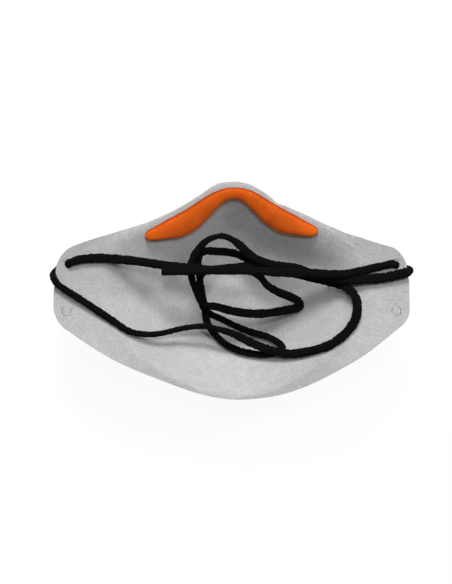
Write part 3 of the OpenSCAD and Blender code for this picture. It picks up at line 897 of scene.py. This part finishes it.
def side_directions(p):
    """Level directions across a path, carried on where the path runs upright."""
    tangent = np.gradient(p, axis=0)
    tangent /= np.linalg.norm(tangent, axis=1, keepdims=True)
    level = np.cross(np.array([0, 0, 1.0]), tangent)
    strength = np.linalg.norm(level, axis=1)
    side = np.zeros_like(p)
    last = level[0] / strength[0]
    for i in range(len(p)):
        carried = last - (last @ tangent[i]) * tangent[i]
        carried /= np.linalg.norm(carried)
        if strength[i] > 0.35:
            aim = level[i] / strength[i]
            aim = aim if aim @ carried > 0 else -aim
            carried = 0.8 * carried + 0.2 * aim
        last = carried / np.linalg.norm(carried)
        side[i] = last
    side = smoothed(side, 6)
    side -= (side * tangent).sum(1, keepdims=True) * tangent
    side /= np.linalg.norm(side, axis=1, keepdims=True)
    return side, np.cross(tangent, side)


def knit_surface(points, seed):
    """Rings of a knitted flat cord. Each row of points is x, y, z and the width there."""
    path, length = catmull(points, STEP)
    p, width = path[:, :3], path[:, 3]
    side, flat = side_directions(p)
    wobble = wander(length, 2.1, seed, 0.5)
    nap = wander(length, 0.7, seed, 3.5)
    drift = wander(length, 9.0, seed, 7.5)
    half_w = width / 2 * (1 + 0.13 * wobble + 0.09 * nap + 0.02 * np.sin(2 * math.pi * length / TWIST))
    half_t = (CORD_T - CORD_THINNING * (width - CORD_W)) / 2 * (1 + 0.06 * drift)
    in_hole = in_eyelet(p)
    half_w = half_w * (1 - in_hole) + in_hole * SQUEEZED[0]
    half_t = half_t * (1 - in_hole) + in_hole * SQUEEZED[1]
    angle = np.linspace(0, 2 * math.pi, RING, endpoint=False)
    c, s = np.cos(angle), np.sin(angle)
    flatter = np.sign(c)[None, :] * np.abs(c)[None, :] ** (0.8 + 0.2 * in_hole[:, None])
    fuller = np.sign(s)[None, :] * np.abs(s)[None, :] ** (0.9 + 0.1 * in_hole[:, None])
    wale = angle / (2 * math.pi) * WALES
    place = wale - np.floor(wale)
    row = length[:, None] / STITCH + 0.55 * np.abs(2 * place[None, :] - 1) + 0.25 * drift[:, None]
    swell = np.sqrt(np.sin(math.pi * np.clip(place, 0.02, 0.98)))
    loop = np.abs(np.sin(math.pi * row)) ** 0.7 * swell[None, :]
    relief = RELIEF * (loop - 0.6)
    across = flatter * half_w[:, None] + relief * c[None, :]
    through = fuller * half_t[:, None] + relief * s[None, :]
    return p[:, None, :] + across[..., None] * side[:, None, :] + through[..., None] * flat[:, None, :]


def cord_piece(name, rings):
    """A closed length of cord from a run of rings."""
    count, around = rings.shape[:2]
    at = np.arange(count * around).reshape(count, around)
    after = np.roll(at, -1, axis=1)
    quads = np.stack([at[:-1], at[1:], after[1:], after[:-1]], -1).reshape(-1, 4).tolist()
    quads.append(at[0].tolist())
    quads.append(at[-1][::-1].tolist())
    piece = finish_mesh(new_piece(name, rings.reshape(-1, 3), quads, CORD), 80)
    return piece


WING_FREE, CUP_HOLD, LOOSE = 86.0, 74.0, 50.0  # the cord goes from wing to cup to loose part, going inward

# Paths of the cord: x, y, z and width. Each span starts at a loose end, goes through its eyelet from
# above, comes back around the wing's end, and runs on to the loops.
LEFT_SPAN = [
    (16, 18.3, 42.3, 3.8), (10, 16.8, 42.5, 3.9), (3, 15.5, 43.5, 3.9), (-5, 14.5, 44.5, 4.1),
    (-14, 13.8, 44.9, 4.3), (-27, 14.9, 45.2, 4.7), (-40, 16.1, 45.9, 5.0), (-50, 17.5, 47, 5.1),
    (-60, 18.8, 47.2, 5.2), (-69, 19.6, 47.2, 5.3), (-77.6, 20.1, 47.2, 5.3),
    (-88, 19.5, OVER + 0.6, 5.1), (-93, 18.1, OVER + 0.4, 4.8), (-95.5, 17.2, OVER - 0.3, 4.5),
    (-96.3, 16.9, WING_Z - 1, 4.3), (-96.9, 16.8, UNDER + 0.2, 4.2), (-100, 16.4, UNDER - 0.3, 4.2),
    (-102.7, 14.2, UNDER - 0.3, 4.0), (-105.0, 11, WING_Z - 1.2, 3.8), (-104.0, 7.6, OVER + 0.4, 3.8),
    (-100.5, 3.6, OVER + 0.3, 3.8), (-90.2, -3, OVER + 0.4, 3.9), (-76.6, -12, 47, 4.1),
    (-69.3, -16.8, 46.8, 4.0), (-60, -22.7, 44.9, 3.6), (-50.5, -24.5, 42, 3.4),
    (-41.2, -23.7, 38.4, 3.2), (-31.7, -21.2, 33.8, 3.2), (-24.4, -19.8, 31, 3.2),
    (-15.6, -19.2, 28.6, 3.3), (-8, -20.8, 26.8, 3.6),
]
RIGHT_SPAN = [
    (-41, 12, 49.1, 4.6), (-30, 12.3, 48.9, 4.9), (-18, 12.6, 48.7, 5.0), (-4, 12.9, 48.5, 5.0),
    (10, 12.6, 48.3, 5.0), (23, 12, 48.1, 5.0), (36, 11.2, 47.9, 5.0), (48, 11.2, 47.6, 5.0),
    (58, 10.6, 47.4, 4.9), (67, 10.8, 47.2, 4.8), (75.5, 12.5, 47, 4.7), (83, 14.3, OVER, 4.6),
    (90, 15.9, OVER + 0.2, 4.5), (94, 16.8, OVER + 0.3, 4.5), (96.4, 16.3, OVER - 0.4, 4.3),
    (97, 16.2, WING_Z - 1, 4.1), (97.5, 16.3, UNDER + 0.2, 4.2), (100, 16.2, UNDER - 0.3, 4.3),
    (102.4, 14.6, UNDER - 0.3, 4.6), (104.9, 13.2, WING_Z - 1, 5.3), (103.6, 12.1, OVER + 0.5, 5.4),
    (100, 10.9, OVER + 0.4, 5.6), (90, 8.7, OVER + 0.3, 5.8), (77.6, 7.6, 47, 5.8),
    (68, 7.4, 45.9, 5.5), (56, 8.9, 44.3, 5.0), (47, 11.7, 43.3, 4.6), (39, 14.7, 43.3, 4.4),
    (35.5, 15.2, 43.4, 4.4),
]
# From the right span, around the small upper loop and two turns deeper in the bowl, to the outer loop.
LOOPS = [
    (39, 14.7, 43.3, 4.4), (31, 15.9, 43.6, 4.4), (23, 17.0, 44.2, 4.5), (15, 19.8, 45.1, 4.6),
    (9.4, 23.5, 45.9, 5.3), (5.2, 27.5, 46.5, 5.0), (0.4, 31.1, 47, 4.1), (-5.8, 33.2, 47, 3.4),
    (-12, 31.8, 46.4, 3.3), (-16, 29.4, 45.3, 3.8), (-20, 25, 43.8, 4.4), (-23, 19.5, 41.7, 4.4),
    (-23.9, 14, 40.1, 4.3), (-23.3, 8, 38.5, 4.0), (-20.8, 1, 35.2, 3.8), (-18.4, -4.4, 32, 3.8),
    (-15, -6.6, 30.1, 4.0), (-9, -7.4, 28.3, 4.6), (1, -9.9, 25.6, 5.0), (12, -11.3, 24, 5.2),
    (22, -11, 24, 5.2), (32.5, -9.4, 25.4, 5.2), (39, -8.2, 26.8, 5.2), (41.4, -6.4, 27.5, 4.6),
    (39.8, -3.8, 28.4, 5.0), (35.6, -1.6, 29.2, 5.0), (28.2, 1.2, 31.2, 4.8), (21.6, 4.8, 34.7, 4.5),
    (17.0, 9.6, 38.5, 3.9), (9.6, 13, 40.1, 3.5), (-3, 13.8, 39.5, 3.4), (-14.2, 13.8, 35.8, 3.4),
    (-18.8, 9, 29.9, 3.6), (-18.3, 1, 23, 4.0), (-17, -7, 15.5, 4.2), (-12.5, -11, 11.2, 4.0),
    (-6, -13.9, 9.1, 4.0), (2.7, -18.2, 8.9, 4.0), (12, -22.0, 13.2, 4.0), (22, -25.2, 20.4, 4.0),
    (28.1, -28.7, 26.8, 3.8), (30.8, -32.1, 30, 3.5), (27, -35, 29.6, 3.6), (19.6, -36.2, 26.6, 3.6),
    (11.7, -35.2, 22.9, 3.9), (3.8, -33.2, 19.3, 4.0), (-4.1, -29.1, 16, 4.1), (-11, -22.2, 14.3, 4.1),
    (-15, -15, 18, 4.2), (-16.6, -5, 25.6, 4.2), (-18, 3, 32.6, 4.2), (-19, 11, 38.5, 4.0),
    (-20, 18, 38.5, 4.4), (-19, 23, 38.5, 4.6), (-15.5, 25.2, 38.5, 4.6), (-9, 25, 38.5, 4.6),
    (-3, 24.6, 38.5, 4.6), (3, 23.4, 38.5, 4.4), (10, 20, 38.8, 4.2), (20, 16.2, 38.6, 4.2),
    (31.5, 13.3, 37.4, 4.2),
]
# Around the right of the bowl, to the left span's end.
OUTER_LOOP = [
    (31.5, 13.3, 37.4, 4.2), (43, 10.3, 36.4, 4.4), (53, 7.8, 38, 4.6), (62, 5.4, 41.6, 4.7),
    (68.6, 2.4, 45, 4.9), (72.8, -2.8, 47, 5.1), (73.8, -9.4, 47.6, 5.2), (71.9, -17.1, 47.8, 5.2),
    (66.4, -24.5, 47.7, 5.2), (58.6, -30.3, 46.7, 5.2), (51.4, -33.1, 44.1, 5.2),
    (43.2, -34.9, 40, 5.2), (34, -35.8, 35.6, 5.1), (22.7, -33.4, 31.2, 5.3), (11.7, -28.9, 27.6, 5.0),
    (1.2, -23.7, 26, 4.3), (-8, -20.8, 26.8, 3.6),
]


def span(points, seed, body, front, rear, node):
    """One side's cord: a length on the wing, and on each hand of it two bends and a loose rest."""
    side = SIDE[body]
    rings = knit_surface(points, seed)
    on_wing = np.flatnonzero(side * rings[:, :, 0].mean(1) > WING_FREE)
    first, last = on_wing[0], on_wing[-1]
    piece = cord_piece(f"cord_{body}_lead", rings[first:last + 1])
    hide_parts(f"cord_{body.replace('_wing', '')}_lead")
    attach(piece, body)
    for hand, name, part in (("front", front, rings[:first + 1][::-1]), ("rear", rear, rings[last:])):
        x = side * part[:, :, 0].mean(1)
        at_cup = int(np.argmax(x < CUP_HOLD))
        at_loose = int(np.argmax(x < LOOSE))
        wing_bend = cord_piece(f"cord_{body}_{hand}_bend", part[:at_cup + 1])
        bend_across(wing_bend)
        sway = cord_piece(f"cord_{body}_{hand}_sway", part[at_cup:at_loose + 1])
        bend_across(sway)
        loose = cord_piece(name, part[at_loose:])
        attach(loose, "headband")
        if hand == "front":
            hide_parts(node)


span(LEFT_SPAN, 1.3, "left_wing", "cord_front_left_end", "cord_left_loop_end", "cord_front_left")
span(RIGHT_SPAN, 4.1, "right_wing", "cord_front_right_end", "cord_right_loop_end", "cord_front_right")
loops = knit_surface(LOOPS, 8.6)
half_way = len(loops) // 2
upper_loops = cord_piece("cord_upper_loops", loops[:half_way + 1])
lower_loops = cord_piece("cord_lower_loops", loops[half_way:])
outer_loop = cord_piece("cord_outer_loop", knit_surface(OUTER_LOOP, 11.2))
for piece in (upper_loops, lower_loops, outer_loop):
    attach(piece, "headband")
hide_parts("cord_rear_tangle")

# ---------------------------------------------------------------- stage, light and camera
FLOOR_HALF, FLOOR_BELOW = 6.0, 0.0004
DISTANCE, ELEVATION, FILLED = 0.75, 86, 0.788  # the camera: metres, degrees, share of the picture's width
PICTURE = (452, 584)
# Lights: name, place, size and power.
LIGHTS = [
    ("key", (-0.05, 1.15, 1.11), 0.55, 15.6),
    ("overhead", (0.0, 0.337, 1.462), 0.2, 4.2),
    ("right", (0.891, 0.514, 1.226), 0.6, 4.2),
]
SKY_LIGHT, SKY_SEEN = 0.11, 0.9  # a dim sky for the light, a bright one for the camera


def floor():
    """A wide white floor that glows, so that it stays pale under a dim light."""
    corners = [(x * FLOOR_HALF, y * FLOOR_HALF, 0) for x, y in ((-1, -1), (1, -1), (1, 1), (-1, 1))]
    mesh = bpy.data.meshes.new("floor")
    mesh.from_pydata(corners, [], [(0, 1, 2, 3)])
    piece = bpy.data.objects.new("floor", mesh)
    bpy.context.scene.collection.objects.link(piece)
    material = bpy.data.materials.new("floor_white")
    material.use_nodes = True
    shader = material.node_tree.nodes["Principled BSDF"]
    shader.inputs["Base Color"].default_value = (0.1, 0.1, 0.1, 1)
    shader.inputs["Roughness"].default_value = 1.0
    shader.inputs["Emission Color"].default_value = (1, 1, 1, 1)
    shader.inputs["Emission Strength"].default_value = 0.93
    mesh.materials.append(material)
    piece.location.z = -FLOOR_BELOW


def area_light(name, place, size, power):
    aim = Vector((0, 0, 0.03))
    data = bpy.data.lights.new(name, "AREA")
    data.shape = "DISK"
    data.size = size
    data.energy = power
    lamp = bpy.data.objects.new(name, data)
    lamp.location = place
    lamp.rotation_euler = (aim - Vector(place)).to_track_quat("-Z", "Y").to_euler()
    bpy.context.scene.collection.objects.link(lamp)


def world():
    made = bpy.data.worlds.new("studio")
    made.use_nodes = True
    shade = made.node_tree.nodes["Background"]
    shade.inputs["Color"].default_value = (1, 1, 1, 1)
    rays = made.node_tree.nodes.new("ShaderNodeLightPath")
    strength = made.node_tree.nodes.new("ShaderNodeMapRange")
    strength.inputs["To Min"].default_value = SKY_LIGHT
    strength.inputs["To Max"].default_value = SKY_SEEN
    made.node_tree.links.new(rays.outputs["Is Camera Ray"], strength.inputs["Value"])
    made.node_tree.links.new(strength.outputs[0], shade.inputs["Strength"])
    bpy.context.scene.world = made


def camera():
    """Above the bowl, leaning a little towards the chin."""
    elevation = math.radians(ELEVATION)
    aim = Vector((-0.0032, 0.0003, WING_Z * MM))
    seen_height = 2 * HALF_W * MM / FILLED * PICTURE[1] / PICTURE[0]
    data = bpy.data.cameras.new("camera")
    data.sensor_width = 36
    data.lens = data.sensor_width * DISTANCE / seen_height
    data.clip_start, data.clip_end = 0.01, 20
    view = bpy.data.objects.new("camera", data)
    back = Vector((0, -math.cos(elevation), math.sin(elevation)))
    view.location = aim + back * DISTANCE
    view.rotation_euler = (-back).to_track_quat("-Z", "Y").to_euler()
    bpy.context.scene.collection.objects.link(view)
    bpy.context.scene.camera = view


floor()
for light in LIGHTS:
    area_light(*light)
world()
camera()
bpy.context.scene.view_settings.view_transform = "Standard"
